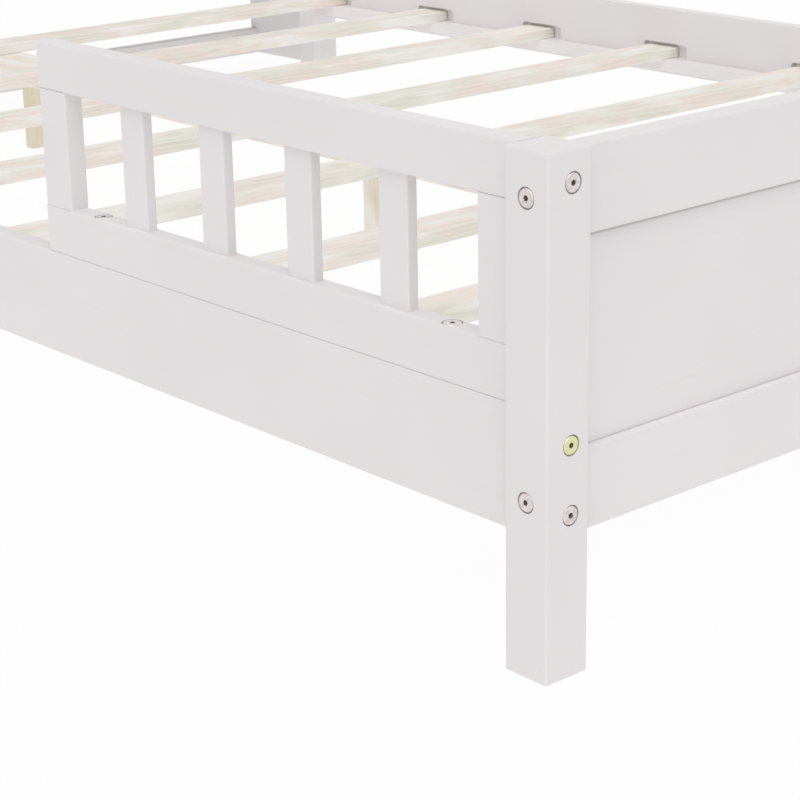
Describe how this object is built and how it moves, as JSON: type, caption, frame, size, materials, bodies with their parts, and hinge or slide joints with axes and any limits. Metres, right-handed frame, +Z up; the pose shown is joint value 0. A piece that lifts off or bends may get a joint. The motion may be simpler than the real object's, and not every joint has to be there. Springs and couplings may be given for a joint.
{
  "type": "slatted child's bed",
  "caption": "Low white wooden child's bed with slatted base, panelled foot board, short barred guards beside the foot end and an open-compartment headboard.",
  "frame": {"origin": "centre of the bed's footprint, on the floor", "axes": "+X along the bed towards the foot board, +Y across the bed, +Z up"},
  "size_m": [2.1896, 1.4556, 0.76],
  "materials": {
    "white_paint": "satin white paint on solid wood and board",
    "natural_pine": "planed, unpainted pine",
    "beech": "raw fluted dowel stock, shown plain",
    "zinc_steel": "zinc-plated steel"
  },
  "bodies": {
    "root": {"foot_post_near": "white_paint", "foot_post_far": "white_paint", "head_post_near": "white_paint", "head_post_far": "white_paint", "side_rail_near": "white_paint", "side_rail_far": "white_paint", "slat_cleat_near": "white_paint", "slat_cleat_far": "white_paint", "foot_top_rail": "white_paint", "foot_panel": "white_paint", "foot_lower_rail": "white_paint", "guard_near_top_rail": "white_paint", "guard_near_bottom_rail": "white_paint", "guard_near_post_stile": "white_paint", "guard_near_end_stile": "white_paint", "guard_near_bar_1": "white_paint", "guard_near_bar_2": "white_paint", "guard_near_bar_3": "white_paint", "guard_near_bar_4": "white_paint", "guard_far_top_rail": "white_paint", "guard_far_bottom_rail": "white_paint", "guard_far_post_stile": "white_paint", "guard_far_end_stile": "white_paint", "guard_far_bar_1": "white_paint", "guard_far_bar_2": "white_paint", "guard_far_bar_3": "white_paint", "guard_far_bar_4": "white_paint", "slat_1": "natural_pine", "slat_2": "natural_pine", "slat_3": "natural_pine", "slat_4": "natural_pine", "slat_5": "natural_pine", "slat_6": "natural_pine", "slat_7": "natural_pine", "slat_8": "natural_pine", "centre_beam": "natural_pine", "centre_leg_foot": "natural_pine", "centre_leg_middle": "natural_pine", "centre_leg_head": "natural_pine", "headboard_side_near": "white_paint", "headboard_side_far": "white_paint", "headboard_lower_rail": "white_paint", "headboard_front_panel": "white_paint", "headboard_shelf": "white_paint", "headboard_top": "white_paint", "headboard_back_panel": "white_paint", "headboard_back_rail": "white_paint", "headboard_divider_near": "white_paint", "headboard_divider_far": "white_paint", "frame_bolts": "zinc_steel", "foot_board_bolts": "zinc_steel", "guard_bolts": "zinc_steel", "headboard_bolts": "zinc_steel", "barrel_nuts": "zinc_steel", "frame_dowels": "beech", "guard_dowels": "beech", "headboard_dowels": "beech", "leg_studs": "zinc_steel", "cleat_screws": "zinc_steel", "shelf_screws": "zinc_steel"}
  },
  "joints": []
}
